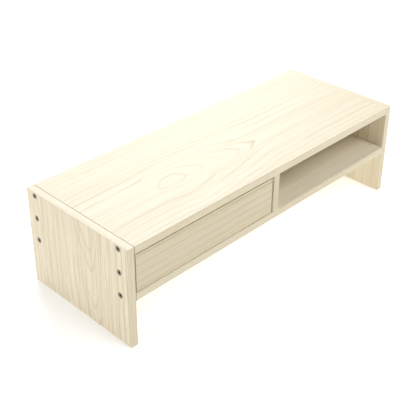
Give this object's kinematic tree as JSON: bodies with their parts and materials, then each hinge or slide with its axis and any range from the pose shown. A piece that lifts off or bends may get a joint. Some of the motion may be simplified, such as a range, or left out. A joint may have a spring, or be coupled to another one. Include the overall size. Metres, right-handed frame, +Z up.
{
  "type": "monitor riser stand",
  "caption": "Low pale wooden riser for a monitor, with a shelf, an open bay on the right and a flush drawer without a handle on the left.",
  "frame": {"origin": "middle of the footprint, on the surface that the foot pads stand on", "axes": "+X along the length towards the open bay, +Y to the back, +Z up; the drawer opens along -Y"},
  "size_m": [0.585, 0.215, 0.162],
  "materials": {
    "maple_board": "pale maple decor on particle board, matt with a faint sheen",
    "edge_banding": "pale maple banding, matt",
    "drawer_board": "pale maple foil, matt",
    "thin_sheet": "pale maple decor on hardboard, matt",
    "beech_runner": "planed beech, waxed",
    "beech_dowel": "turned beech, plain",
    "zinc_screw": "zinc plated, satin",
    "clear_pad": "soft clear polymer, satin"
  },
  "bodies": {
    "stand": {"left_side_panel": "maple_board", "right_side_panel": "maple_board", "left_side_edging": "edge_banding", "right_side_edging": "edge_banding", "top_panel": "maple_board", "top_panel_edging": "edge_banding", "shelf_panel": "maple_board", "shelf_edging": "edge_banding", "divider_panel": "maple_board", "divider_edging": "edge_banding", "back_panel": "thin_sheet", "left_side_screws": "zinc_screw", "right_side_screws": "zinc_screw", "divider_screws": "zinc_screw", "top_panel_dowels": "beech_dowel", "shelf_dowels": "beech_dowel", "divider_dowels": "beech_dowel", "left_runner": "beech_runner", "right_runner": "beech_runner", "left_runner_screws": "zinc_screw", "right_runner_screws": "zinc_screw", "foot_pads": "clear_pad"},
    "drawer": {"drawer_front": "maple_board", "drawer_front_edging": "edge_banding", "drawer_left_side": "drawer_board", "drawer_right_side": "drawer_board", "drawer_back": "drawer_board", "drawer_bottom": "thin_sheet", "drawer_front_dowels": "beech_dowel", "drawer_back_dowels": "beech_dowel"}
  },
  "joints": [
    {"name": "drawer_slide", "type": "slide", "parent": "stand", "child": "drawer", "axis": [0, -1, 0], "range_m": [0, 0.14]}
  ]
}
